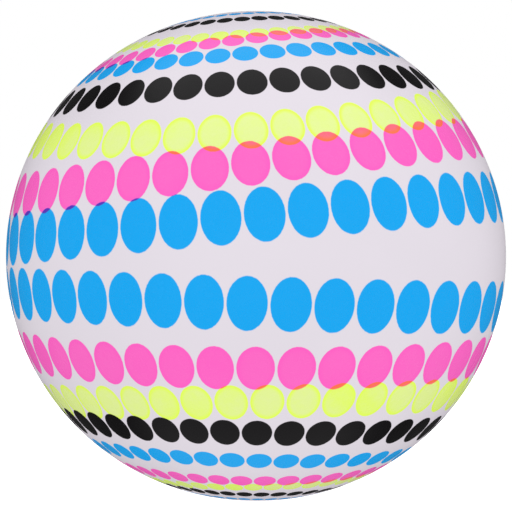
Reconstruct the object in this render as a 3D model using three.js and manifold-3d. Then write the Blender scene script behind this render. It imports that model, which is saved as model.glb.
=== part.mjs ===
// An inflatable beach ball: one seamless moulded skin, a little flatter than it is wide, with a push-in
// mouth valve in the plain band round its equator, at the back. The valve is pushed in and plugged.
// Millimetres, +Z up. The origin is the middle of the patch on which the ball stands.
import * as THREE from "three";
import { mergeVertices } from "three/addons/utils/BufferGeometryUtils.js";
import Module from "manifold-3d";

const wasm = await Module();
wasm.setup();

// Ball
const BALL_WIDTH = 220; // across the equator
const BALL_HEIGHT = 215.6; // pole to pole, before its weight presses the bottom flat
const CONTACT_RADIUS = 12; // round patch pressed flat by the ball's own weight
const SKIN_WALL = 0.45;

// Valve: radii are measured from its axis, which runs out of the ball along +Y
const GAP = 0.3; // between pieces that touch, or are welded together
const WELD_WIDTH = 6.7; // of the flange, on the inside of the skin round the recess
const FLANGE_WALL = 1;
const SLEEVE_WALL = 0.6;
const RECESS_ROOM = 0.95; // between the sleeve and what lies furthest out in the recess
const BORE_RADIUS = 2.6; // air passage, which a pump's nozzle also fits
const STEM_WALL = 1.4;
const STEM_LENGTH = 9.8; // foot to mouth
const FOOT_OVERHANG = 1.6; // past the outside of the stem, for the sleeve to hold on to
const FOOT_HEIGHT = 1.2;
const BEAD_OVERHANG = 0.4; // rim round the mouth
const BEAD_HEIGHT = 1.2;
const HEAD_OVERHANG = 1; // of the plug's head, past the outside of the stem
const HEAD_HEIGHT = 1.2;
const SHANK_CLEARANCE = 0.15; // between the plug's shank and the bore
const SHANK_LENGTH = 4;
const SHANK_TAPER = 0.6; // taken off the shank's radius at its tip
const TAB_WIDTH = 3.2; // lip on the plug's head that a fingernail catches
const TAB_THICKNESS = 0.8;
const STRAP_WIDTH = 2.4;
const STRAP_THICKNESS = 0.6;
const STRAP_LEG = 0.2; // straight part between the plug's head and the strap's bend
const FLAP_OVERLAP = 0.8; // past the bore, all round
const FLAP_THICKNESS = 0.4;

// Facets
const SKIN_ROUND = 48; // a multiple of four, so that the ball's sides are true to its width
const SKIN_ROWS = 12; // from the equator to a pole
const VALVE_ROUND = 32;
const ARC_STEPS = 6;

// What follows from the sizes above
const flatness = BALL_HEIGHT / BALL_WIDTH;
const centreHeight = (flatness * Math.sqrt(BALL_WIDTH ** 2 - (2 * CONTACT_RADIUS) ** 2)) / 2;
const valveSeat = BALL_WIDTH / 2;

// Levels along the valve's axis. Zero is the outside of the skin, and less is further into the ball.
const headTop = 0; // a valve that is pushed in is flush with the ball
const headBottom = headTop - HEAD_HEIGHT;
const mouth = headBottom - GAP;
const beadBottom = mouth - BEAD_HEIGHT;
const footBottom = mouth - STEM_LENGTH;
const footTop = footBottom + FOOT_HEIGHT;
const flapTop = footBottom - GAP;
const flangeTop = -(SKIN_WALL + GAP);
const sleeveTop = flangeTop;
const sleeveDepth = sleeveTop - (footTop + GAP);
const strapTop = headBottom + HEAD_HEIGHT / 2; // middle of its thickness, as is the next
const strapBottom = beadBottom - GAP - STRAP_THICKNESS / 2;

// Radii, from the bore outwards
const stemRadius = BORE_RADIUS + STEM_WALL;
const headRadius = stemRadius + HEAD_OVERHANG;
const strapBend = (strapTop - strapBottom) / 2;
const strapReach = headRadius + GAP + STRAP_LEG + strapBend + STRAP_THICKNESS / 2;
const sleeveNeck = stemRadius + GAP;
const sleeveRim = strapReach + RECESS_ROOM + SLEEVE_WALL;
const flangeBore = sleeveRim + GAP;
const recessRadius = flangeBore + GAP; // the flange's rim shows inside the skin's edge

const white = { color: 0xdfdce4, roughness: 0.35, metalness: 0 };
const milky = { color: 0xe9ebee, roughness: 0.45, metalness: 0 };
const clear = { color: 0xd5dde2, roughness: 0.3, metalness: 0 };

// A closed three.js geometry as a manifold-3d solid
function solid(geometry) {
  const bare = geometry.clone();
  bare.deleteAttribute("normal");
  bare.deleteAttribute("uv");
  const merged = mergeVertices(bare, 1e-4);
  return new wasm.Manifold(
    new wasm.Mesh({
      numProp: 3,
      vertProperties: merged.attributes.position.array,
      triVerts: new Uint32Array(merged.index.array),
    }),
  );
}

function geometryOf(manifold) {
  const { vertProperties, triVerts } = manifold.getMesh();
  return new THREE.BufferGeometry()
    .setAttribute("position", new THREE.BufferAttribute(vertProperties, 3))
    .setIndex(new THREE.BufferAttribute(triVerts, 1));
}

function mesh(name, geometry, finish) {
  const shown = geometry.index ? geometry.toNonIndexed() : geometry;
  shown.computeVertexNormals();
  const made = new THREE.Mesh(shown, new THREE.MeshStandardMaterial(finish));
  made.name = name;
  return made;
}

// A solid of revolution about the valve's axis, from [radius, level] points
function turned(points) {
  const profile = points.map(([radius, level]) => new THREE.Vector2(radius, level));
  return new THREE.LatheGeometry(profile, VALVE_ROUND);
}

// Points of a quarter turn, from (1, 0) to (0, 1)
function quarter() {
  return Array.from({ length: ARC_STEPS + 1 }, (_, step) => {
    const angle = (step / ARC_STEPS) * (Math.PI / 2);
    return [Math.cos(angle), Math.sin(angle)];
  });
}

// The solid inside the ball's surface, moved inwards by a depth. Its centre is at the origin and its
// bottom is flat where the ball stands.
function ballCore(depth) {
  const wide = BALL_WIDTH / 2 - depth;
  const high = BALL_HEIGHT / 2 - depth;
  const floor = depth - centreHeight;
  const lowest = Math.asin(floor / high);
  const profile = [new THREE.Vector2(0, floor)];
  for (let row = -SKIN_ROWS; row < SKIN_ROWS; row++) {
    const latitude = row < 0 ? (-lowest * row) / SKIN_ROWS : ((Math.PI / 2) * row) / SKIN_ROWS;
    profile.push(new THREE.Vector2(wide * Math.cos(latitude), high * Math.sin(latitude)));
  }
  profile.push(new THREE.Vector2(0, high));
  return solid(new THREE.LatheGeometry(profile, SKIN_ROUND).rotateX(Math.PI / 2));
}

// A round bar along the valve's axis, through the back of the ball only
function valveBar(radius) {
  const bar = new THREE.CylinderGeometry(radius, radius, valveSeat, VALVE_ROUND);
  return solid(bar.translate(0, valveSeat, 0));
}

function ballSkin() {
  const shell = ballCore(0).subtract(ballCore(SKIN_WALL));
  return mesh("ball_skin", geometryOf(shell.subtract(valveBar(recessRadius))), white);
}

// A patch of a shell that runs parallel to the skin, so the flange lies against it all over
function valveFlange() {
  const shell = ballCore(-flangeTop).subtract(ballCore(FLANGE_WALL - flangeTop));
  const disc = shell.intersect(valveBar(recessRadius + WELD_WIDTH));
  return mesh("valve_flange", geometryOf(disc.subtract(valveBar(flangeBore))), milky);
}

// The bowl-shaped membrane between the flange and the stem, which turns inside out as the stem pops out
function foldingSleeve() {
  const reach = sleeveRim - sleeveNeck;
  const arc = quarter();
  const outside = arc.map(([out, down]) => [sleeveNeck + reach * out, sleeveTop - sleeveDepth * down]);
  const inside = arc.map(([out, down]) => [
    sleeveNeck + (reach - SLEEVE_WALL) * out,
    sleeveTop - (sleeveDepth - SLEEVE_WALL) * down,
  ]);
  const loop = [...outside.reverse(), ...inside, outside[0]];
  return mesh("folding_sleeve", turned(loop), milky);
}

function valveStem() {
  const foot = stemRadius + FOOT_OVERHANG;
  const bead = stemRadius + BEAD_OVERHANG;
  const loop = [
    [BORE_RADIUS, footBottom],
    [foot, footBottom],
    [foot, footTop],
    [stemRadius, footTop],
    [stemRadius, beadBottom],
    [bead, beadBottom + BEAD_HEIGHT / 4],
    [bead, mouth - BEAD_HEIGHT / 4],
    [stemRadius, mouth],
    [BORE_RADIUS, mouth],
    [BORE_RADIUS, footBottom],
  ];
  return mesh("valve_stem", turned(loop), milky);
}

// A film disc over the foot of the bore, which the air in the ball holds shut. It hangs from its top edge.
function checkFlap() {
  const disc = turned([
    [0, flapTop - FLAP_THICKNESS],
    [BORE_RADIUS + FLAP_OVERLAP, flapTop - FLAP_THICKNESS],
    [BORE_RADIUS + FLAP_OVERLAP, flapTop],
    [0, flapTop],
  ]);
  return mesh("check_flap", disc, clear);
}

function stopperPlug() {
  const shank = BORE_RADIUS - SHANK_CLEARANCE;
  const tip = headBottom - SHANK_LENGTH;
  const chamfer = HEAD_HEIGHT / 3;
  const body = turned([
    [0, tip],
    [shank - SHANK_TAPER, tip],
    [shank, tip + SHANK_LENGTH / 3],
    [shank, headBottom],
    [headRadius, headBottom],
    [headRadius, headTop - chamfer],
    [headRadius - chamfer, headTop],
    [0, headTop],
  ]);
  const tab = new THREE.BoxGeometry(TAB_WIDTH, TAB_THICKNESS, strapReach);
  tab.translate(0, headBottom + HEAD_HEIGHT / 2, strapReach / 2);
  return mesh("stopper_plug", geometryOf(solid(body).add(solid(tab))), milky);
}

// The strap that ties the plug to the stem: a leg out from the plug's head, a half turn down past the
// bead, and a leg back to the stem. Drawn as [distance from the axis, level], it hangs below the axis.
function plugStrap() {
  const half = STRAP_THICKNESS / 2;
  const start = headRadius + GAP;
  const bend = start + STRAP_LEG;
  const middle = (strapTop + strapBottom) / 2;
  const outline = new THREE.Shape()
    .moveTo(start, strapTop + half)
    .lineTo(bend, strapTop + half)
    .absarc(bend, middle, strapBend + half, Math.PI / 2, -Math.PI / 2, true)
    .lineTo(sleeveNeck, strapBottom - half)
    .lineTo(sleeveNeck, strapBottom + half)
    .lineTo(bend, strapBottom + half)
    .absarc(bend, middle, strapBend - half, -Math.PI / 2, Math.PI / 2, false)
    .lineTo(start, strapTop - half);
  const strap = new THREE.ExtrudeGeometry(outline, {
    depth: STRAP_WIDTH,
    bevelEnabled: false,
    curveSegments: ARC_STEPS,
  });
  strap.translate(0, 0, -STRAP_WIDTH / 2).rotateY(Math.PI / 2);
  return mesh("plug_strap", strap, milky);
}

const valve = new THREE.Group();
valve.name = "valve";
valve.position.set(0, valveSeat, 0);
valve.add(foldingSleeve(), valveStem(), checkFlap(), stopperPlug(), plugStrap());

const ball = new THREE.Group();
ball.name = "beach_ball";
ball.position.set(0, 0, centreHeight);
ball.add(ballSkin(), valveFlange(), valve);

const root = new THREE.Group();
root.add(ball);

export default root;
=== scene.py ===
"""An inflatable beach ball: a seamless moulded skin printed with rings of dots, and its mouth valve.

Metres, +Z up. The origin is the middle of the patch on which the ball stands, and the valve's axis runs
along +Y through the ball's centre, out of the back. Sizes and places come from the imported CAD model.
"""

import logging
import math
from collections.abc import Mapping, Sequence
from dataclasses import dataclass
from enum import Enum
from typing import Any, Union

import bpy
import mathutils
import numpy as np
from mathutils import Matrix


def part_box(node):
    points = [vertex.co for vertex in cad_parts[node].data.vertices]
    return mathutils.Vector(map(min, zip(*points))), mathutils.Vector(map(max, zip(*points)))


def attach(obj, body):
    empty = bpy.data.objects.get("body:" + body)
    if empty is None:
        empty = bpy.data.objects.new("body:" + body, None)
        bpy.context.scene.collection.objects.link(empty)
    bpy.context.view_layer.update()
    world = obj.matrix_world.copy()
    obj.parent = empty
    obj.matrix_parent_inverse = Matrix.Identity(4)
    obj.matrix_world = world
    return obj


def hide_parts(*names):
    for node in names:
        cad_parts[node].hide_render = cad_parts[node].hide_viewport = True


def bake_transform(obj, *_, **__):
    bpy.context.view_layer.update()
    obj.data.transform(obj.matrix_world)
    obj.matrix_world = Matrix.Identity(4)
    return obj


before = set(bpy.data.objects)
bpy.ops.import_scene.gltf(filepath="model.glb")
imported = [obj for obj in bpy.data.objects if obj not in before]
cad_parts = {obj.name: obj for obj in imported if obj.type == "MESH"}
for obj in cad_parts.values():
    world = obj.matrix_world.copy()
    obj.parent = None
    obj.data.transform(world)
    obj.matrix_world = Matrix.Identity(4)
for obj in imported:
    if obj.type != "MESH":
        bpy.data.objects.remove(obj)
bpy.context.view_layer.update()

MM = 0.001
SHARP_ANGLE = math.radians(38)  # edges that turn further than this are drawn crisp
RUN_MARGIN = 0.06  # share of a profile's straight run between its end and the point that keeps it flat
WHITE = (1.0, 1.0, 1.0, 1.0)
Tone = tuple[float, float, float, float]

log = logging.getLogger("beach_ball")


# --------------------------------------------------------------------------------------------------
# Surfaces


class Ends(Enum):
    """How the first and last rows of a grid are closed. Its columns always run right round."""

    POLES = "each end row is drawn to one point"
    JOINED = "the last row meets the first"
    CAPPED = "each end row is closed by one flat face"


def faces_of(rows: int, columns: int, ends: Ends) -> list[np.ndarray]:
    """Faces of a grid whose vertices are numbered along each row in turn.

    Between two rows, face j takes columns j and j + 1 of both, and the last column meets the first.

    Args:
        rows: Number of rows of vertices, without the two points of Ends.POLES.
        columns: Number of vertices in a row.
        ends: How the end rows are closed.

    Returns:
        Arrays of vertex numbers, one array for each number of corners.
    """
    index = np.arange(rows * columns).reshape(rows, columns)
    upper = np.roll(index, -1, axis=0) if ends is Ends.JOINED else index[1:]
    lower = index if ends is Ends.JOINED else index[:-1]
    corners = (lower, np.roll(lower, -1, axis=1), np.roll(upper, -1, axis=1), upper)
    quads = np.stack(corners, axis=-1).reshape(-1, 4)
    if ends is Ends.JOINED:
        return [quads]
    if ends is Ends.CAPPED:
        return [quads, index[0][None, ::-1], index[-1][None]]
    first, last = index[0], index[-1]
    start, finish = np.full(columns, rows * columns), np.full(columns, rows * columns + 1)
    fans = (
        np.stack([start, np.roll(first, -1), first], axis=-1),
        np.stack([last, np.roll(last, -1), finish], axis=-1),
    )
    return [quads, *fans]


def enclosed_volume(points: np.ndarray, faces: Sequence[np.ndarray]) -> float:
    """Volume inside a closed surface: a sixth of the triple products of its triangles' corners, added up.

    Args:
        points: The surface's points.
        faces: Its faces, as faces_of gives them.

    Returns:
        The volume, which is below 0 where the faces are turned inwards.
    """
    total = 0.0
    for group in faces:
        a = points[group[:, 0]]
        for k in range(1, group.shape[1] - 1):
            b, c = points[group[:, k]], points[group[:, k + 1]]
            total += float(np.einsum("ij,ij->", a, np.cross(b, c))) / 6
    return total


def add_surface(name: str, grid: np.ndarray, ends: Ends) -> bpy.types.Object:
    """Makes a closed surface from a grid of points, with its faces turned outwards.

    Args:
        name: Name of the object and its mesh.
        grid: Points, as rows x columns x 3. With Ends.POLES the end rows are each one repeated point.
        ends: How the end rows are closed.

    Returns:
        The new object, at the origin, unturned and unscaled.
    """
    body = grid[1:-1] if ends is Ends.POLES else grid
    points = body.reshape(-1, 3)
    if ends is Ends.POLES:
        points = np.concatenate([points, grid[0, :1], grid[-1, :1]])
    faces = faces_of(body.shape[0], body.shape[1], ends)
    if enclosed_volume(points - points.mean(axis=0), faces) < 0:
        faces = [group[:, ::-1] for group in faces]
    mesh = bpy.data.meshes.new(name)
    mesh.from_pydata(points.tolist(), [], [face for group in faces for face in group.tolist()])
    mesh.shade_smooth()
    mesh.set_sharp_from_angle(angle=SHARP_ANGLE)
    made = bpy.data.objects.new(name, mesh)
    bpy.context.scene.collection.objects.link(made)
    return made


def rounded(corners: Sequence[tuple[float, float, float]], closed: bool, steps: int = 6) -> np.ndarray:
    """A profile of straight runs with softened corners.

    Each corner (x, y, rounding) becomes a parabola: (1-s)^2 A + 2s(1-s) C + s^2 B, where C is the corner
    and A and B lie on its two runs, as far from it as the rounding. Each run keeps a point near either
    end, so that it still looks flat when it is shaded smooth.

    Args:
        corners: The corners in order. The ends of an open profile are kept as they are.
        closed: Whether the last corner leads back to the first.
        steps: Parts of each parabola.

    Returns:
        The points, as n x 2.
    """
    places = np.array([corner[:2] for corner in corners], float)
    count = len(corners)
    s = np.linspace(0, 1, steps + 1)[:, None]
    parts: list[np.ndarray] = []
    for k, corner in enumerate(corners):
        here = places[k]
        if not closed and k in (0, count - 1):
            parts.append(here[None])
        else:
            arms = [places[(k + side) % count] - here for side in (-1, 1)]
            a, b = (here + arm * (corner[2] / np.linalg.norm(arm)) for arm in arms)
            parts.append((1 - s) ** 2 * a + 2 * s * (1 - s) * here + s**2 * b)
    profile: list[np.ndarray] = []
    for k, part in enumerate(parts):
        profile.append(part)
        if closed or k < count - 1:
            start, stop = part[-1], parts[(k + 1) % count][0]
            profile.append(start + (stop - start) * np.array([[RUN_MARGIN], [1 - RUN_MARGIN]]))
    return np.concatenate(profile)


def smooth_step(value: np.ndarray, low: float, high: float) -> np.ndarray:
    """0 below low, 1 above high, and 3t^2 - 2t^3 between them, where t is the share of the way."""
    t = np.clip((value - low) / (high - low), 0, 1)
    return t * t * (3 - 2 * t)


def two_runs(start: float, middle: float, stop: float, first: int, second: int) -> np.ndarray:
    """A number of even steps from start to the middle, and a second number of points from there to stop."""
    return np.append(np.linspace(start, middle, first, endpoint=False), np.linspace(middle, stop, second))


def off_top(turn: np.ndarray) -> np.ndarray:
    """The angle between a turn from 0 to 2 pi and straight up."""
    return np.minimum(turn, 2 * np.pi - turn)


@dataclass(frozen=True)
class NodeBox:
    """Where a CAD node lies, measured from the valve's axis.

    Args:
        low: Lowest corner.
        high: Highest corner.
        axis_height: Height of the valve's axis.
    """

    low: tuple[float, float, float]
    high: tuple[float, float, float]
    axis_height: float

    @classmethod
    def of(cls, node: str, axis_height: float) -> "NodeBox":
        """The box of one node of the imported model."""
        low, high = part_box(node)
        return cls(tuple(low), tuple(high), axis_height)

    @property
    def radius(self) -> float:
        """Half of its width from left to right."""
        return (self.high[0] - self.low[0]) / 2

    @property
    def up(self) -> float:
        """How far it reaches above the axis."""
        return self.high[2] - self.axis_height

    @property
    def down(self) -> float:
        """How far it reaches below the axis."""
        return self.axis_height - self.low[2]


@dataclass(frozen=True)
class BallShape:
    """The ball's outside: a spheroid, a little flatter than it is wide, standing on a patch that its weight
    presses flat.

    Args:
        half_width: From the centre to the equator.
        half_height: From the centre to the pole.
        centre: Height of the centre above the floor.
        ease: How far above the floor the pressed patch begins to curve up, about.
    """

    half_width: float
    half_height: float
    centre: float
    ease: float = 0.08 * MM

    @classmethod
    def of_frame(cls, contact_radius: float) -> "BallShape":
        """Works the shape out from the skin's box.

        The box gives the half width a and the top's height h. Where r is the patch's radius, the centre
        stands at (half_height / a) * sqrt(a^2 - r^2), so half_height = a h / (a + sqrt(a^2 - r^2)).

        Args:
            contact_radius: Radius of the flat patch.

        Returns:
            The shape.
        """
        low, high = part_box("ball_skin")
        wide = (high.x - low.x) / 2
        half_height = wide * high.z / (wide + math.sqrt(wide**2 - contact_radius**2))
        return cls(wide, half_height, high.z - half_height)

    def at(self, polar: np.ndarray, turn: np.ndarray, depth: np.ndarray) -> np.ndarray:
        """Points on the ball, or a depth inside it, along rays from its centre.

        A ray at a polar angle from +Y and a turn round it from +Z meets the spheroid at the distance
        1 / sqrt((x^2 + y^2) / a^2 + z^2 / b^2), where (x, y, z) is its unit direction. Under the floor's
        level the height h is eased to (h + sqrt(h^2 + e^2)) / 2, which flattens the patch.

        Args:
            polar: Angle from the valve's axis.
            turn: Angle round the valve's axis, from +Z towards +X.
            depth: Distance inside the surface.

        Returns:
            Points, in the shape that the arguments broadcast to, x 3.
        """
        polar, turn, depth = np.broadcast_arrays(polar, turn, depth)
        x, y, z = np.sin(polar) * np.sin(turn), np.cos(polar), np.sin(polar) * np.cos(turn)
        reach = 1 / np.sqrt((x**2 + y**2) / self.half_width**2 + z**2 / self.half_height**2) - depth
        above = self.centre + reach * z - depth
        height = depth + (above + np.sqrt(above**2 + self.ease**2)) / 2
        return np.stack([reach * x, reach * y, height], axis=-1)


def ring_of_turns(columns: int) -> np.ndarray:
    """Equal turns right round the axis, as one row."""
    return np.linspace(0, 2 * np.pi, columns, endpoint=False)[None, :]


@dataclass(frozen=True)
class ValveAxis:
    """The line on which the valve's pieces are turned.

    Args:
        seat: Where it leaves the ball, along Y: level 0. A level below 0 is inside the ball.
        height: Its height above the floor.
    """

    seat: float
    height: float

    def place(self, radius: np.ndarray, turn: np.ndarray, level: np.ndarray) -> np.ndarray:
        """Points at a radius and a turn round the axis, from +Z towards +X, and a level along it."""
        parts = (radius * np.sin(turn), self.seat + level + 0 * turn, self.height + radius * np.cos(turn))
        return np.stack(np.broadcast_arrays(*parts), axis=-1)

    def turned(self, name: str, profile: np.ndarray, columns: int, ends: Ends) -> bpy.types.Object:
        """A surface of revolution: each (radius, level) of the profile is carried round the axis."""
        radius, level = profile[:, :1], profile[:, 1:]
        return add_surface(name, self.place(radius, ring_of_turns(columns), level), ends)


# --------------------------------------------------------------------------------------------------
# Shader nodes


class Field:
    """A socket whose value varies over a surface."""

    def __init__(self, graph: "Graph", socket: bpy.types.NodeSocket) -> None:
        """Wraps a socket.

        Args:
            graph: The graph that holds the socket's node.
            socket: An output socket.
        """
        self.graph = graph
        self.socket = socket


Number = Union["Value", float]


class Value(Field):
    """A number that varies over a surface. Arithmetic on it adds Math nodes."""

    def math(self, operation: str, *operands: Number) -> "Value":
        """One Math node of this operation, with these operands in order."""
        node = self.graph.add("ShaderNodeMath", {"operation": operation}, dict(enumerate(operands)))
        return Value(self.graph, node.outputs[0])

    def __add__(self, other: Number) -> "Value":
        """self + other."""
        return self.math("ADD", self, other)

    def __sub__(self, other: Number) -> "Value":
        """self - other."""
        return self.math("SUBTRACT", self, other)

    def __rsub__(self, other: Number) -> "Value":
        """other - self."""
        return self.math("SUBTRACT", other, self)

    def __mul__(self, other: Number) -> "Value":
        """self * other."""
        return self.math("MULTIPLY", self, other)

    __radd__ = __add__
    __rmul__ = __mul__

    def apply(self, operation: str) -> "Value":
        """A Math operation of one operand, such as COSINE or SQRT."""
        return self.math(operation, self)

    def least(self, other: Number) -> "Value":
        """The smaller of the two."""
        return self.math("MINIMUM", self, other)

    def most(self, other: Number) -> "Value":
        """The larger of the two."""
        return self.math("MAXIMUM", self, other)

    def off_whole(self) -> "Value":
        """Distance to the nearest whole number."""
        return self.math("PINGPONG", self, 0.5)

    def step(self, low: float, high: float) -> "Value":
        """A step that eases in and out.

        Args:
            low: Where it is 0.
            high: Where it is 1, which may be less than low.

        Returns:
            The step.
        """
        settings = {"interpolation_type": "SMOOTHSTEP"}
        inputs = {"Value": self, "From Min": low, "From Max": high, "To Min": 0.0, "To Max": 1.0}
        return Value(self.graph, self.graph.add("ShaderNodeMapRange", settings, inputs).outputs[0])


class Vector(Field):
    """Three numbers that vary over a surface."""

    def vector_math(self, operation: str, *operands: Any) -> bpy.types.Node:
        """One Vector Math node of this operation on self and the operands."""
        inputs = dict(enumerate((self, *operands)))
        return self.graph.add("ShaderNodeVectorMath", {"operation": operation}, inputs)

    def dot(self, axis: Sequence[float]) -> Value:
        """Dot product with a fixed vector."""
        return Value(self.graph, self.vector_math("DOT_PRODUCT", tuple(axis)).outputs["Value"])

    def distance(self, point: Sequence[float]) -> Value:
        """Distance to a fixed point."""
        return Value(self.graph, self.vector_math("DISTANCE", tuple(point)).outputs["Value"])

    def unit(self) -> "Vector":
        """The same direction, with length 1."""
        return Vector(self.graph, self.vector_math("NORMALIZE").outputs["Vector"])

    def times(self, scale: Sequence[float]) -> "Vector":
        """Each part times a fixed number."""
        return Vector(self.graph, self.vector_math("MULTIPLY", tuple(scale)).outputs["Vector"])


class Colour(Field):
    """A colour that varies over a surface."""


def linear(red: float, green: float, blue: float) -> Tone:
    """The linear colour of screen values: a share c becomes ((c + 0.055) / 1.055)^2.4, or c / 12.92 where
    it is dark.

    Args:
        red: From 0 to 255.
        green: From 0 to 255.
        blue: From 0 to 255.

    Returns:
        The colour, opaque.
    """
    shares = (red / 255, green / 255, blue / 255)
    parts = (c / 12.92 if c <= 0.04045 else ((c + 0.055) / 1.055) ** 2.4 for c in shares)
    return (*parts, 1.0)


def tinted(colour: Tone, red: float, green: float, blue: float) -> Tone:
    """A colour with its parts multiplied by these."""
    return (colour[0] * red, colour[1] * green, colour[2] * blue, 1.0)


class Graph:
    """The nodes of a material or of the world."""

    def __init__(self, tree: bpy.types.NodeTree, material: bpy.types.Material | None = None) -> None:
        """Empties a node tree, to build on.

        Args:
            tree: The node tree.
            material: The material that holds it, if one does.
        """
        self.tree = tree
        self.material = material
        self.tree.nodes.clear()

    @classmethod
    def of_material(cls, name: str) -> "Graph":
        """Makes a new material.

        Args:
            name: Its name.

        Returns:
            Its nodes, which are none yet.
        """
        material = bpy.data.materials.new(name)
        material.use_nodes = True
        return cls(material.node_tree, material)

    def add(
        self,
        kind: str,
        settings: Mapping[str, Any] | None = None,
        inputs: Mapping[Any, Any] | None = None,
    ) -> bpy.types.Node:
        """Adds one node.

        Args:
            kind: The node's type.
            settings: Its settings, such as a Math node's operation, which are set first.
            inputs: What goes into its sockets, by name or number: fields and sockets are linked, and
                anything else becomes the socket's own value.

        Returns:
            The node.
        """
        node = self.tree.nodes.new(kind)
        for key, setting in (settings or {}).items():
            setattr(node, key, setting)
        for key, given in (inputs or {}).items():
            if isinstance(given, Field):
                self.tree.links.new(given.socket, node.inputs[key])
            elif isinstance(given, bpy.types.NodeSocket):
                self.tree.links.new(given, node.inputs[key])
            else:
                node.inputs[key].default_value = given
        return node

    def place(self) -> Vector:
        """The point on the piece, in metres in the shared frame."""
        return Vector(self, self.add("ShaderNodeTexCoord").outputs["Object"])

    def noise(self, at: Vector, scale: float, detail: float = 3.0, roughness: float = 0.5) -> Value:
        """Cloudy noise, mostly between 0.3 and 0.7. Its scale is in clouds to the unit of the place."""
        inputs = {"Vector": at, "Scale": scale, "Detail": detail, "Roughness": roughness}
        return Value(self, self.add("ShaderNodeTexNoise", {}, inputs).outputs[0])

    def mix(self, share: Number, below: Any, above: Any, blend: str = "MIX") -> Colour:
        """One colour laid over another.

        Args:
            share: How much of the one above to lay, from 0 to 1.
            below: The colour or field below.
            above: The colour or field above.
            blend: How they are blended, as the Mix node names it.

        Returns:
            The mixed colour.
        """
        settings = {"data_type": "RGBA", "blend_type": blend}
        node = self.add("ShaderNodeMix", settings, {0: share, 6: below, 7: above})
        return Colour(self, node.outputs[2])

    def bump(self, height: Value, distance: float) -> Vector:
        """A normal tilted by a height field, whose unit is the distance in metres."""
        inputs = {"Height": height, "Distance": distance, "Strength": 1.0}
        return Vector(self, self.add("ShaderNodeBump", {}, inputs).outputs[0])

    def finish(self, **sockets: Any) -> bpy.types.Material:
        """Puts a Principled shader on the surface.

        Args:
            sockets: What goes into its sockets, by name, with _ for each space.

        Returns:
            The material.
        """
        inputs = {name.replace("_", " "): given for name, given in sockets.items()}
        shader = self.add("ShaderNodeBsdfPrincipled", {}, inputs)
        self.add("ShaderNodeOutputMaterial", {}, {"Surface": shader.outputs[0]})
        return self.material


# --------------------------------------------------------------------------------------------------
# The print


class Pole(Enum):
    """The end of the ball that a print goes round."""

    TOP = 1
    BOTTOM = -1


@dataclass(frozen=True)
class Ink:
    """A translucent ink. Where two overlap, each filters what the other leaves.

    Args:
        tint: What a full layer makes of the plastic's colour, as linear factors. The inks are fluorescent,
            so a factor can pass 1.
        paleness: How much thinner the layer is inside than in the bead at a dot's edge, where it is
            laid thinnest.
    """

    tint: Tone
    paleness: float


@dataclass(frozen=True)
class Ring:
    """One ring of dots.

    Args:
        colatitude: Degrees from the pole to the dots' middles.
        half_height: Degrees from a dot's middle to its edge, towards the pole.
    """

    colatitude: float
    half_height: float


@dataclass(frozen=True)
class Pass:
    """One ink's trip through the press round one pole, with its own small errors of register.

    Args:
        lean_right: How far the pass's axis leans towards +X, as a share of its length.
        lean_back: How far it leans towards +Y.
        turns: Degrees from the front to a dot's middle, for each ring of this ink, outwards ring first.
    """

    lean_right: float
    lean_back: float
    turns: tuple[float, ...]


@dataclass(frozen=True)
class DotPrint:
    """The rings of dots round both poles, as masks in a material.

    Args:
        rings: From the equator to the pole. The inks repeat in order.
        passes: Each ink's passes, for each pole.
        crowding: How much closer the dots stand on one side than on the other, in radians of drift.
        draw: How much further back a ring's axis leans for each radian by which it is inside draw_inside.
        draw_inside: Colatitude, in degrees, inside which the rings are drawn.
        dots: Number of dots in each ring.
        fill: A dot's width as a share of the dots' spacing.
        bottom_scale: The bottom print's colatitudes as a share of the top's.
    """

    rings: tuple[Ring, ...]
    passes: Mapping[Pole, tuple[Pass, ...]]
    crowding: Mapping[Pole, float]
    draw: Mapping[Pole, float]
    draw_inside: float = 45.0
    dots: int = 38
    fill: float = 0.947
    bottom_scale: float = 0.982

    def axis(self, pole: Pole, press: Pass, ring: Ring) -> np.ndarray:
        """The unit vector that a ring goes round.

        It leans as its pass does, and further back by draw * max(0, draw_inside - the ring's colatitude).

        Args:
            pole: The pole that the ring goes round.
            press: The pass that prints it.
            ring: The ring.

        Returns:
            The vector.
        """
        drawn = self.draw[pole] * math.radians(max(0.0, self.draw_inside - ring.colatitude))
        lean = np.array([press.lean_right, press.lean_back + drawn, 0.0])
        lean[2] = pole.value * math.sqrt(1 - lean @ lean)
        return lean

    def distance(self, at: Vector, pole: Pole, ink: int) -> Value:
        """How far a place is from the nearest dot's middle, with the dot's edge at 1.

        A dot is the ellipse u^2 + v^2 = 1. v is the colatitude less the ring's, in half heights. u is
        2 / fill times the distance from n (z + crowding cos z - turn) / 2 pi to a whole number, where z is
        the azimuth round the ring's axis, from the front.

        Args:
            at: The place on the unit ball.
            pole: The pole that the print goes round.
            ink: The ink's number.

        Returns:
            The distance.
        """
        press = self.passes[pole][ink]
        scale = 1.0 if pole is Pole.TOP else self.bottom_scale
        per_radian = self.dots / (2 * math.pi)
        nearest: Value | None = None
        for ring, turn in zip(self.rings[ink :: len(self.passes[pole])], press.turns):
            axis = self.axis(pole, press, ring)
            front = np.array([0.0, -1.0, 0.0]) + axis * axis[1]
            front /= np.linalg.norm(front)
            across = at.dot(np.cross(axis, front))
            azimuth = across.math("ARCTAN2", across, at.dot(front))
            crowded = azimuth + azimuth.apply("COSINE") * self.crowding[pole]
            u = ((crowded - math.radians(turn)) * per_radian).off_whole() * (2 / self.fill)
            colatitude = at.dot(axis).apply("ARCCOSINE")
            v = (colatitude - math.radians(ring.colatitude * scale)) * (1 / math.radians(ring.half_height))
            squared = v * v + u * u
            nearest = squared if nearest is None else nearest.least(squared)
        return nearest.apply("SQRT")


# --------------------------------------------------------------------------------------------------
# Finishes


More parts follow.
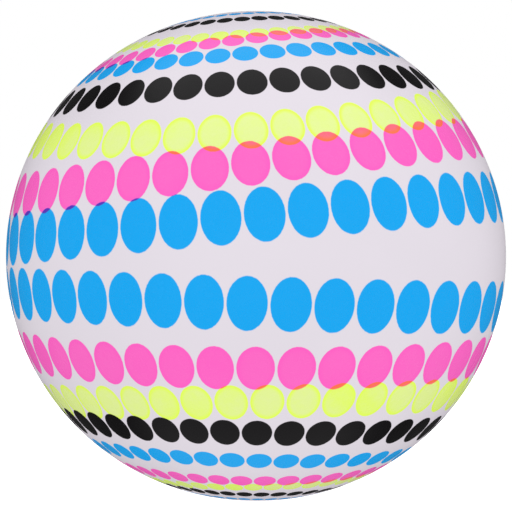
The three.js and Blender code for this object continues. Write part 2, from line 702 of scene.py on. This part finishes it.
@dataclass(frozen=True)
class PrintedPvc:
    """Satin white PVC, printed with dots. Scales are in features to the metre.

    Args:
        shape: The ball's shape, which the print follows.
        pattern: The dots.
        inks: The inks, in the order of the pattern's passes.
        white: The plastic's colour.
        violet: What the second ink makes of the first where they overlap.
        weld_radii: Inner and outer radius of the valve's flange, whose weld shows as a faint ring.
        clouds: Scale of the clouds in the plastic.
        patches: Scale of the patches in which the ink is laid thinner.
        mottling: Scale of the ink's mottling.
        peel: Scale of the skin's orange peel.
        ragged: Scale of the raggedness of the dots' edges.
        grain: Scale of the finest grain.
        roughness: How matt the bare plastic is.
        ink_gloss: How much glossier the ink is.
        relief: Depth of the peel, the grain and the ink's film.
    """

    shape: BallShape
    pattern: DotPrint
    inks: tuple[Ink, ...]
    white: Tone
    violet: Tone
    weld_radii: tuple[float, float]
    clouds: float = 22.0
    patches: float = 26.0
    mottling: float = 260.0
    peel: float = 420.0
    ragged: float = 900.0
    grain: float = 2600.0
    roughness: float = 0.36
    ink_gloss: float = 0.09
    relief: float = 0.012 * MM

    def plastic(self, graph: Graph, place: Vector) -> Colour:
        """The plastic's own colour, with faint clouds in it and a little shade on the valve's weld.

        Args:
            graph: The material's nodes.
            place: The point on the skin.

        Returns:
            The colour.
        """
        cloud = graph.noise(place, self.clouds, 2.0).step(0.3, 0.7)
        clouded = graph.mix(cloud * 0.5, self.white, tinted(self.white, 0.965, 0.965, 0.965))
        inner, outer = self.weld_radii
        from_axis = place.distance((0.0, self.shape.half_width, self.shape.centre))
        weld = from_axis.step(inner, inner + 1 * MM) * from_axis.step(outer + 0.6 * MM, outer - 0.4 * MM)
        return graph.mix(weld * 0.8, clouded, tinted(self.white, 0.97, 0.975, 0.95))

    def on_unit_ball(self, graph: Graph, place: Vector) -> Vector:
        """The point's direction from the centre, once the spheroid is stretched to a ball of radius 1.

        Args:
            graph: The material's nodes.
            place: The point on the skin.

        Returns:
            The unit vector.
        """
        a, b = self.shape.half_width, self.shape.half_height
        inputs = {
            "Vector": place,
            "Location": (0.0, 0.0, -self.shape.centre / b),
            "Scale": (1 / a, 1 / a, 1 / b),
        }
        return Vector(graph, graph.add("ShaderNodeMapping", {}, inputs).outputs[0]).unit()

    def make(self) -> bpy.types.Material:
        """Builds the material: each ink multiplies the colour below it, fully inside a dot's edge, and is a
        little thinner within the bead that the ink forms along the edge.

        Returns:
            The material.
        """
        graph = Graph.of_material("printed_pvc")
        place = graph.place()
        at = self.on_unit_ball(graph, place)
        colour = self.plastic(graph, place)
        ragged = (graph.noise(place, self.ragged, 2.0) - 0.5) * 0.035
        mottle = graph.noise(place, self.mottling, 4.0, 0.65)
        patches = graph.noise(place, self.patches, 1.0).step(0.35, 0.62)
        uneven = mottle * 0.7 + patches * 0.7
        covers: list[Value] = []
        for number, ink in enumerate(self.inks):
            near = [self.pattern.distance(at, pole, number) for pole in Pole]
            edge = near[0].least(near[1]) + ragged
            cover = edge.step(1.018, 0.972)
            thin = edge.step(0.97, 0.68) * uneven * ink.paleness
            layer = graph.mix(thin, ink.tint, WHITE)
            colour = graph.mix(cover, colour, layer, "MULTIPLY")
            covers.append(cover)
        blue, pink = covers[:2]
        colour = graph.mix(blue * pink, colour, self.violet)
        film = covers[0]
        for cover in covers[1:]:
            film = film.most(cover)
        fine = graph.noise(place, self.peel, 2.0) * 0.55 + graph.noise(place, self.grain, 2.0) * 0.12
        return graph.finish(
            Base_Color=colour,
            Roughness=self.roughness - film * self.ink_gloss + (mottle - 0.5) * 0.14,
            Normal=graph.bump(fine + film * 0.5, self.relief),
            IOR=1.36,
        )


@dataclass(frozen=True)
class SoftPvc:
    """Milky, slightly see-through moulded PVC.

    Args:
        colour: Its colour where it is thick.
        roughness: How matt it is.
        flow: Radians of the flow marks to the metre.
        relief: Depth of the flow marks and the grain.
    """

    colour: Tone
    roughness: float
    flow: float = 5200.0
    relief: float = 0.02 * MM

    def make(self, axis: ValveAxis) -> bpy.types.Material:
        """Builds the material: flow marks run round the valve's axis, with specks and fine grain.

        Args:
            axis: The valve's axis.

        Returns:
            The material.
        """
        graph = Graph.of_material("soft_pvc")
        place = graph.place()
        from_axis = place.times((1.0, 0.0, 1.0)).distance((0.0, 0.0, axis.height))
        cloud = graph.noise(place, 180.0, 3.0)
        flow = (from_axis * self.flow + cloud * 9.0).apply("SINE")
        dull = tinted(self.colour, 0.90, 0.91, 0.89)
        colour = graph.mix(cloud.step(0.35, 0.7) * 0.7, self.colour, dull)
        specks = graph.noise(place, 1500.0, 1.0).step(0.70, 0.76)
        colour = graph.mix(specks * 0.25, colour, linear(150, 146, 138))
        relief = flow * 0.12 + graph.noise(place, 1400.0, 3.0) * 0.6
        return graph.finish(
            Base_Color=colour,
            Roughness=self.roughness + (cloud - 0.5) * 0.2,
            Normal=graph.bump(relief, self.relief),
            IOR=1.45,
            Subsurface_Weight=0.35,
            Subsurface_Radius=(1.0, 0.95, 0.85),
            Subsurface_Scale=0.8 * MM,
        )


@dataclass(frozen=True)
class ClearFilm:
    """Clear soft film with a faint cast and fine scratches.

    Args:
        colour: Its cast.
        alpha: How much it hides of what is behind it.
    """

    colour: Tone
    alpha: float

    def make(self) -> bpy.types.Material:
        """Builds the material, with haze in it and scratches drawn out across Z.

        Returns:
            The material.
        """
        graph = Graph.of_material("clear_film")
        place = graph.place()
        haze = graph.noise(place, 700.0, 3.0)
        scratches = graph.noise(place.times((1.0, 1.0, 14.0)), 500.0, 2.0).step(0.62, 0.7)
        colour = graph.mix(haze.step(0.3, 0.8) * 0.5, self.colour, linear(236, 240, 242))
        return graph.finish(
            Base_Color=colour,
            Roughness=0.16 + scratches * 0.25 + (haze - 0.5) * 0.1,
            Alpha=self.alpha + (haze - 0.5) * 0.2,
            Normal=graph.bump(haze + scratches * 0.4, 0.01 * MM),
            IOR=1.5,
        )


def dress(piece: bpy.types.Object, material: bpy.types.Material, node: str) -> None:
    """Gives a piece its material, hides the CAD node that it stands for and logs which node that is.

    Args:
        piece: The piece.
        material: Its material.
        node: The CAD node that it replaces.
    """
    piece.data.materials.append(material)
    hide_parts(node)
    log.info("%s: %d faces, for %s", piece.name, len(piece.data.polygons), node)


# --------------------------------------------------------------------------------------------------
# The ball


@dataclass
class BallSkin:
    """The seamless skin: one shell with a hole for the valve.

    Args:
        shape: The ball's shape.
        recess: Radius of the hole.
        weld_edge: Outer radius of the flange that is welded inside it.
        wall: The shell's thickness.
        groove: Depth of the groove along the weld's edge.
        lift: How much the weld lifts the skin.
        fine_reach: How far from the hole the rows are closer together.
        columns: Points round the valve's axis.
    """

    shape: BallShape
    recess: float
    weld_edge: float
    wall: float = 0.45 * MM
    groove: float = 0.11 * MM
    lift: float = 0.07 * MM
    fine_reach: float = 14 * MM
    columns: int = 200

    def relief(self, radius: np.ndarray) -> np.ndarray:
        """How deep the surface lies under the plain ball.

        The weld lifts the skin a little between the hole and its own edge, where it leaves a groove:
        groove * exp(-((r - edge) / width)^2) - lift * (1 - step(r)).

        Args:
            radius: Distance from the valve's axis.

        Returns:
            The depths.
        """
        groove = self.groove * np.exp(-(((radius - self.weld_edge) / (0.55 * MM)) ** 2))
        return groove - self.lift * (1 - smooth_step(radius, self.weld_edge - 1.5 * MM, self.weld_edge))

    def build(self, material: bpy.types.Material) -> bpy.types.Object:
        """Builds the skin from the pole opposite the valve, over the outside to the hole, round the hole's
        edge, which is a half circle as wide as the wall, and back along the inside.

        Args:
            material: The skin's material.

        Returns:
            The skin.
        """
        wide = self.shape.half_width
        edge, lip = self.recess / wide, self.wall / 2 / wide
        near = edge + self.fine_reach / wide
        outside = two_runs(np.pi, near, edge + lip, 130, 44)
        inside = two_runs(edge + lip, near, np.pi, 12, 70)
        half_turn = np.linspace(0, np.pi, 9)[1:-1]
        lip_depth = self.relief(np.array([self.recess])) + self.wall / 2 * (1 - np.cos(half_turn))
        polar = np.concatenate([outside, edge + lip * (1 - np.sin(half_turn)), inside])
        depth = np.concatenate([self.relief(outside * wide), lip_depth, np.full(len(inside), self.wall)])
        grid = self.shape.at(polar[:, None], ring_of_turns(self.columns), depth[:, None])
        skin = add_surface("ball_skin_printed", grid, Ends.POLES)
        dress(skin, material, "ball_skin")
        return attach(skin, "ball")


# --------------------------------------------------------------------------------------------------
# The valve


@dataclass
class MouthValve:
    """The push-in valve: flange, folding sleeve, stem, check flap, plug and strap.

    Args:
        shape: The ball's shape, which the flange lies against.
        axis: The valve's axis.
        milky: The material of the moulded pieces.
        clear: The flap's material.
        gap: Room between the flange's bore and the sleeve.
        bore: Radius of the air passage.
        stem_radius: Radius of the outside of the stem.
        flange_depth: From the outside of the skin to the flange.
        flange_wall: The flange's thickness.
        weld_ridge: Height of the ridges in the weld.
        sleeve_wall: Thickness of the sleeve at its ends.
        rib: Height of the sleeve's ribs, and how much its wall thins on each side where it folds.
        foot_height: Height of the stem's foot.
        bead_reach: How far the bead stands out from the stem.
        bead_height: Height of the bead.
        head_depth: Thickness of the plug's head, whose top is at level 0.
        shank: Radius of the plug's shank.
        seal: How far the shank's sealing rings stand out.
        tongue: How far the flap reaches past its hinge.
        dome: How far the flap bulges into the ball.
        strap_wall: The strap's thickness.
        columns: Points round the axis.
    """

    shape: BallShape
    axis: ValveAxis
    milky: bpy.types.Material
    clear: bpy.types.Material
    gap: float = 0.3 * MM
    bore: float = 2.6 * MM
    stem_radius: float = 4.0 * MM
    flange_depth: float = 0.75 * MM
    flange_wall: float = 1.0 * MM
    weld_ridge: float = 0.14 * MM
    sleeve_wall: float = 0.6 * MM
    rib: float = 0.07 * MM
    foot_height: float = 1.2 * MM
    bead_reach: float = 0.4 * MM
    bead_height: float = 1.2 * MM
    head_depth: float = 1.2 * MM
    shank: float = 2.45 * MM
    seal: float = 0.11 * MM
    tongue: float = 0.2 * MM
    dome: float = 0.18 * MM
    strap_wall: float = 0.6 * MM
    columns: int = 128

    def box(self, node: str) -> NodeBox:
        """Where a CAD node lies."""
        return NodeBox.of(node, self.axis.height)

    def level(self, y: float) -> float:
        """The level of a place along Y."""
        return y - self.axis.seat

    def point(self, level: float) -> tuple[float, float, float]:
        """The point of the axis at a level."""
        return (0.0, self.axis.seat + level, self.axis.height)

    def build(self) -> list[bpy.types.Object]:
        """Builds every piece of the valve."""
        return [self.flange(), self.sleeve(), self.stem(), self.flap(), self.plug(), self.strap()]

    def flange(self) -> bpy.types.Object:
        """The welded disc: a patch of shell parallel to the skin, from its bore to its rim.

        Its outer face has three weld ridges, each ridge * cos^2 of the place across it.

        Returns:
            The flange.
        """
        bore, rim = self.box("folding_sleeve").radius + self.gap, self.box("valve_flange").radius
        top, bottom = -self.flange_depth, -self.flange_depth - self.flange_wall
        corners = [
            (bore, bottom, 0.25 * MM),
            (rim, bottom, 0.35 * MM),
            (rim, top, 0.35 * MM),
            (bore, top, 0.25 * MM),
        ]
        profile = rounded(corners, closed=True)
        face = np.linspace(rim - 0.6 * MM, bore + 0.6 * MM, 60)
        ridges = self.weld_ridge * np.cos((face - bore) / (rim - bore) * 3 * np.pi) ** 2
        ridges *= smooth_step(rim - face, 0.5 * MM, 1.2 * MM)
        split = self.face_start(profile, top)
        ridged = np.stack([face, top + ridges], axis=-1)
        profile = np.concatenate([profile[:split], ridged, profile[split + 2 :]])
        polar = np.arcsin(profile[:, :1] / self.shape.half_width)
        grid = self.shape.at(polar, ring_of_turns(self.columns), -profile[:, 1:])
        made = add_surface("valve_flange_disc", grid, Ends.JOINED)
        dress(made, self.milky, "valve_flange")
        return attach(made, "ball")

    @staticmethod
    def face_start(profile: np.ndarray, level: float) -> int:
        """Finds a profile's longest straight run at one level.

        Args:
            profile: (radius, level) points.
            level: The run's level.

        Returns:
            The number of the first of the run's two points.
        """
        flat = np.isclose(profile[:, 1], level, atol=1e-9)
        pairs = np.flatnonzero(flat[:-1] & flat[1:])
        lengths = np.abs(np.diff(profile[:, 0]))[pairs]
        return int(pairs[np.argmax(lengths)])

    @classmethod
    def parted(cls, profile: np.ndarray, level: float, count: int) -> np.ndarray:
        """Parts a profile's longest straight run at one level into even steps.

        Args:
            profile: (radius, level) points.
            level: The run's level.
            count: Points that the run is to have.

        Returns:
            The profile with those points.
        """
        start = cls.face_start(profile, level)
        share = np.linspace(0, 1, count)[:, None]
        run = profile[start] + (profile[start + 1] - profile[start]) * share
        return np.concatenate([profile[:start], run, profile[start + 2 :]])

    def sleeve(self) -> bpy.types.Object:
        """The bowl-shaped membrane.

        Its middle line is a quarter of an ellipse, from the flange's bore at t = 0 to the stem at t = 90
        degrees, and its wall is half a thickness either side of it: thickest at both ends, thinnest where
        it folds, with four soft ribs of cos^2 and a collar of exp(-t^2) at the flange.

        Returns:
            The sleeve.
        """
        box = self.box("folding_sleeve")
        neck, rim = self.stem_radius, box.radius - self.sleeve_wall / 2
        top, bottom = self.level(box.high[1]), self.level(box.low[1])
        reach, depth = rim - neck, bottom + self.sleeve_wall / 2 - top
        t = np.linspace(0, np.pi / 2, 72)
        middle = np.stack([neck + reach * np.cos(t), top + depth * np.sin(t)], axis=-1)
        along = np.stack([-reach * np.sin(t), depth * np.cos(t)], axis=-1)
        along /= np.linalg.norm(along, axis=1, keepdims=True)
        out = np.stack([-along[:, 1], along[:, 0]], axis=-1)
        share = t / (np.pi / 2)
        swell = self.rib * np.sin(np.pi * share)
        half = self.sleeve_wall / 2 - swell + swell * np.cos(share * 5 * np.pi) ** 2
        collar = 0.33 * MM * np.exp(-((share / 0.075) ** 2))
        outer = middle + out * (half + collar)[:, None]
        inner = middle - out * half[:, None]
        loop = np.concatenate([outer, inner[::-1]])
        made = self.axis.turned("folding_sleeve_membrane", loop, self.columns, Ends.JOINED)
        dress(made, self.milky, "folding_sleeve")
        end = self.point(bottom + self.sleeve_wall)
        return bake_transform(made, "ball", "stem", start=self.point(top), end=end)

    def stem(self) -> bpy.types.Object:
        """The mouthpiece: a tube with a foot that the sleeve holds and a bead round its mouth.

        Returns:
            The stem.
        """
        box = self.box("valve_stem")
        bore, outside, foot = self.bore, self.stem_radius, box.radius
        base, mouth = self.level(box.low[1]), self.level(box.high[1])
        corners = [
            (bore, base, 0.3 * MM),
            (foot, base, 0.3 * MM),
            (foot, base + self.foot_height, 0.4 * MM),
            (outside, base + self.foot_height, 0.35 * MM),
            (outside, mouth - self.bead_height, 0.15 * MM),
            (outside + self.bead_reach, mouth - 0.95 * MM, 0.15 * MM),
            (outside + self.bead_reach, mouth - 0.25 * MM, 0.15 * MM),
            (outside - 0.1 * MM, mouth, 0.2 * MM),
            (bore + 0.25 * MM, mouth, 0.2 * MM),
            (bore, mouth - 0.4 * MM, 0.2 * MM),
        ]
        loop = rounded(corners, closed=True)
        made = self.axis.turned("valve_stem_tube", loop, self.columns, Ends.JOINED)
        dress(made, self.milky, "valve_stem")
        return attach(made, "stem")

    def flap(self) -> bpy.types.Object:
        """The check flap: a thin disc, domed by dome * (1 - (r / radius)^2), with a short tongue at its
        upper edge, where its outline is radius + tongue * exp(-(turn / 24 degrees)^4).

        Returns:
            The flap.
        """
        box = self.box("check_flap")
        radius, top, bottom = box.radius, self.level(box.high[1]), self.level(box.low[1])
        corners = [
            (0.0, bottom, 0.0),
            (radius, bottom, 0.12 * MM),
            (radius, top, 0.12 * MM),
            (0.0, top, 0.0),
        ]
        profile = rounded(corners, closed=False)
        run = (profile[1:2] - profile[:1]) / RUN_MARGIN
        fine = np.linspace(0, 0.84, 12)[1:-1, None]
        profile = np.concatenate([profile[:1], profile[:1] + fine * run, profile[2:]])
        near, level = profile[:, :1], profile[:, 1:]
        turn = ring_of_turns(self.columns)
        tongue = self.tongue * np.exp(-((off_top(turn) / math.radians(24)) ** 4))
        spread = near + tongue * smooth_step(near, 0.7 * radius, radius)
        level = level - self.dome * (1 - (near / radius) ** 2)
        made = add_surface("check_flap_film", self.axis.place(spread, turn, level), Ends.POLES)
        dress(made, self.clear, "check_flap")
        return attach(made, "flap")

    def plug(self) -> bpy.types.Object:
        """The plug: a tapered shank with two sealing rings, and a dished head with a fingernail tab.

        The head's outline swells into the tab: radius + reach * exp(-(turn / 17 degrees)^4), which is drawn
        thinner and has ridges of sin^2 along it.

        Returns:
            The plug.
        """
        box = self.box("stopper_plug")
        tip, under = self.level(box.low[1]), -self.head_depth
        head, shank = box.radius, self.shank
        rings = [
            (shank + bulge, under - centre + rise, 0.08 * MM)
            for centre in (1.6 * MM, 0.8 * MM)
            for bulge, rise in ((0.0, -0.15 * MM), (self.seal, 0.0), (0.0, 0.15 * MM))
        ]
        corners = [
            (0.0, tip, 0.0),
            (shank - 0.6 * MM, tip, 0.25 * MM),
            (shank, tip + 1.33 * MM, 0.3 * MM),
            *rings,
            (shank, under, 0.2 * MM),
            (head, under, 0.3 * MM),
            (head, 0.0, 0.42 * MM),
            (0.62 * head, 0.0, 0.3 * MM),
            (0.50 * head, -0.28 * MM, 0.3 * MM),
            (0.12 * head, -0.30 * MM, 0.1 * MM),
            (0.08 * head, -0.20 * MM, 0.05 * MM),
            (0.0, -0.20 * MM, 0.0),
        ]
        profile = self.parted(self.parted(rounded(corners, closed=False), 0.0, 30), under, 14)
        radius, level = profile[:, :1], profile[:, 1:]
        turn, reach = ring_of_turns(160), box.up - head
        tab = np.exp(-((off_top(turn) / math.radians(17)) ** 4))
        in_head = (level > under - 1e-6) * smooth_step(radius, 0.62 * head, head)
        spread = radius + in_head * tab * reach
        past = np.clip((spread - head) / reach, 0, 1)
        thinned = under / 2 + (level - under / 2) * (1 - 0.34 * smooth_step(past, 0, 0.35))
        ridges = 0.09 * MM * np.sin(past * 3 * np.pi) ** 2 * (level > -0.3 * MM) * (past < 0.95)
        made = add_surface("stopper_plug_cap", self.axis.place(spread, turn, thinned + ridges), Ends.POLES)
        dress(made, self.milky, "stopper_plug")
        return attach(made, "plug")

    def strap(self) -> bpy.types.Object:
        """The strap: a rounded flat section carried along a leg from the plug's head, a half turn past the
        bead and a leg back to the stem.

        The section is (w cos^k, h sin^k) with k = 0.4, which is nearly a rectangle, and w narrows at the
        half turn.

        Returns:
            The strap.
        """
        box, half = self.box("plug_strap"), self.strap_wall / 2
        upper, lower = self.level(box.high[1]) - half, self.level(box.low[1]) + half
        bend_radius = (upper - lower) / 2
        bend = box.down - half - bend_radius
        starts, stops = self.box("stopper_plug").radius - 0.15 * MM, self.stem_radius - 0.05 * MM
        angle = np.linspace(np.pi / 2, -np.pi / 2, 28)
        arc = [bend + bend_radius * np.cos(angle), lower + bend_radius * (1 + np.sin(angle))]
        leg_out = [np.linspace(starts, bend, 8, endpoint=False), np.full(8, upper)]
        leg_back = [np.linspace(bend, stops, 12)[1:], np.full(11, lower)]
        path = np.concatenate([leg_out, arc, leg_back], axis=1).T
        along = np.gradient(path, axis=0)
        along /= np.linalg.norm(along, axis=1, keepdims=True)
        out = np.stack([-along[:, 1], along[:, 0]], axis=-1)
        share = np.linspace(-1, 1, len(path))[:, None]
        wide = box.radius * (0.86 + 0.16 * share**2 + 0.18 * np.abs(share) ** 12)
        section = ring_of_turns(40)
        circle = (np.cos(section), np.sin(section))
        flat, rise = (np.sign(part) * np.abs(part) ** 0.4 for part in circle)
        down = path[:, :1] + out[:, :1] * rise * half
        level = path[:, 1:] + out[:, 1:] * rise * half
        grid = np.stack([wide * flat, self.axis.seat + level, self.axis.height - down], axis=-1)
        made = add_surface("plug_strap_band", grid, Ends.CAPPED)
        dress(made, self.milky, "plug_strap")
        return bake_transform(made, "stem", "plug", start=self.point(lower), end=self.point(upper))


# --------------------------------------------------------------------------------------------------
# The studio


@dataclass
class Studio:
    """A plain white floor, soft light from all round and the camera.

    Args:
        shape: The ball's shape, which the camera looks at.
        distance: From the ball's centre to the camera, in half widths.
        filling: The ball's width as a share of the rendered frame's.
        floor_half: Half of the floor's side.
        lamp_place: Middle of the soft box.
        lamp_side: Side of the soft box.
        lamp_power: Its power, in watts.
    """

    shape: BallShape
    distance: float = 12.0
    filling: float = 0.9766
    floor_half: float = 6.0
    lamp_place: tuple[float, float, float] = (0.35, -1.3, 0.9)
    lamp_side: float = 0.9
    lamp_power: float = 0.4

    def build(self) -> None:
        """Builds the floor, the light and the camera."""
        self.floor()
        self.surroundings()
        self.softbox()
        self.camera()

    def floor(self) -> None:
        """A wide white floor that glows a little, as a lit table does."""
        half = self.floor_half
        corners = [(-half, -half, 0.0), (half, -half, 0.0), (half, half, 0.0), (-half, half, 0.0)]
        mesh = bpy.data.meshes.new("studio_floor")
        mesh.from_pydata(corners, [], [(0, 1, 2, 3)])
        material = Graph.of_material("studio_floor").finish(
            Base_Color=linear(235, 235, 235),
            Roughness=0.9,
            Emission_Color=WHITE,
            Emission_Strength=0.8,
        )
        mesh.materials.append(material)
        floor = bpy.data.objects.new("studio_floor", mesh)
        floor.visible_glossy = floor.visible_diffuse = False
        bpy.context.scene.collection.objects.link(floor)

    def surroundings(self) -> None:
        """A white room. It lights the ball almost evenly, and what the ball mirrors of it is a bright
        ceiling, a paler floor and dim walls: by the height z of a direction, from -1 straight down to 1."""
        world = bpy.data.worlds.new("studio")
        world.use_nodes = True
        graph = Graph(world.node_tree)
        towards = Vector(graph, graph.add("ShaderNodeTexCoord").outputs["Generated"])
        height = towards.dot((0.0, 0.0, 1.0))
        soft = towards.dot((0.03, -0.05, 0.07)) + 1.02
        mirrored = height.step(0.72, 0.88) * 0.75 + height.step(-0.72, -0.9) * 0.3 + 0.06
        even, gloss, seen = (
            graph.add("ShaderNodeBackground", {}, {"Color": WHITE, "Strength": strength}).outputs[0]
            for strength in (soft, mirrored, 1.0)
        )
        rays = graph.add("ShaderNodeLightPath").outputs
        lit = graph.add("ShaderNodeMixShader", {}, {0: rays["Is Glossy Ray"], 1: even, 2: gloss}).outputs[0]
        shown = graph.add("ShaderNodeMixShader", {}, {0: rays["Is Camera Ray"], 1: lit, 2: seen}).outputs[0]
        graph.add("ShaderNodeOutputWorld", {}, {"Surface": shown})
        world.cycles.sampling_method = "NONE"
        bpy.context.scene.world = world

    def softbox(self) -> None:
        """A square soft light that faces the ball's centre."""
        lamp = bpy.data.lights.new("softbox_front", "AREA")
        lamp.shape = "SQUARE"
        lamp.size = self.lamp_side
        lamp.energy = self.lamp_power
        made = bpy.data.objects.new("softbox_front", lamp)
        made.location = self.lamp_place
        towards = mathutils.Vector((0.0, 0.0, self.shape.centre)) - mathutils.Vector(self.lamp_place)
        made.rotation_euler = towards.to_track_quat("-Z", "Y").to_euler()
        made.visible_glossy = False
        bpy.context.scene.collection.objects.link(made)

    def camera(self) -> None:
        """A level camera in front of the ball.

        A ray that grazes the ball leaves the camera at an angle whose tangent is 1 / sqrt(d^2 - 1), where
        d is the distance in half widths. The lens puts that ray at the filling's share of the half frame.
        """
        made = bpy.data.cameras.new("camera")
        made.lens = made.sensor_width / 2 * self.filling * math.sqrt(self.distance**2 - 1)
        holder = bpy.data.objects.new("camera", made)
        holder.location = (0.0, -self.distance * self.shape.half_width, self.shape.centre)
        holder.rotation_euler = (math.pi / 2, 0.0, 0.0)
        bpy.context.scene.collection.objects.link(holder)
        bpy.context.scene.camera = holder
        bpy.context.scene.view_settings.view_transform = "Standard"


# --------------------------------------------------------------------------------------------------
# The whole


CONTACT_RADIUS = 12 * MM
FLANGE_SHOWS = 0.6 * MM  # from the sleeve's rim to the skin's edge, past two gaps
INKS = (
    Ink((0.0, 0.545, 1.15, 1.0), 0.0),
    Ink((1.32, 0.165, 0.72, 1.0), 0.03),
    Ink((1.02, 1.42, 0.12, 1.0), 0.30),
    Ink((0.006, 0.005, 0.006, 1.0), 0.0),
)

DOTS = DotPrint(
    rings=(
        Ring(81.3, 6.1),
        Ring(68.5, 5.3),
        Ring(56.2, 4.7),
        Ring(48.3, 4.0),
        Ring(39.5, 2.9),
        Ring(33.7, 2.7),
        Ring(27.9, 2.25),
        Ring(24.2, 2.15),
        Ring(18.9, 1.6),
    ),
    passes={
        Pole.TOP: (
            Pass(-0.090, 0.004, (4.4, 4.4, 2.7)),
            Pass(-0.129, -0.016, (3.3, 4.0)),
            Pass(-0.086, -0.090, (3.3, 3.1)),
            Pass(-0.072, 0.006, (4.3, 3.7)),
        ),
        Pole.BOTTOM: (
            Pass(-0.029, 0.004, (6.0, 1.2, -2.0)),
            Pass(-0.010, 0.045, (4.2, -0.1)),
            Pass(0.017, -0.014, (2.1, -1.8)),
            Pass(-0.021, 0.009, (3.0, -1.5)),
        ),
    },
    crowding={Pole.TOP: 0.030, Pole.BOTTOM: -0.089},
    draw={Pole.TOP: 0.245, Pole.BOTTOM: 0.27},
)


def main() -> None:
    """Builds the ball, its valve and the studio."""
    logging.basicConfig(level=logging.INFO, format="%(name)s: %(message)s")
    shape = BallShape.of_frame(CONTACT_RADIUS)
    axis = ValveAxis(seat=shape.half_width, height=shape.centre)
    recess = NodeBox.of("folding_sleeve", axis.height).radius + FLANGE_SHOWS
    weld_edge = NodeBox.of("valve_flange", axis.height).radius
    white, violet = linear(226, 219, 228), linear(86, 52, 186)
    finish = PrintedPvc(shape, DOTS, INKS, white, violet, (recess, weld_edge))
    milky = SoftPvc(linear(227, 227, 228), 0.38).make(axis)
    clear = ClearFilm(linear(214, 222, 226), 0.5).make()
    BallSkin(shape, recess, weld_edge).build(finish.make())
    pieces = MouthValve(shape, axis, milky, clear).build()
    log.info("the valve has %d pieces", len(pieces))
    Studio(shape).build()


if __name__ == "__main__":
    main()
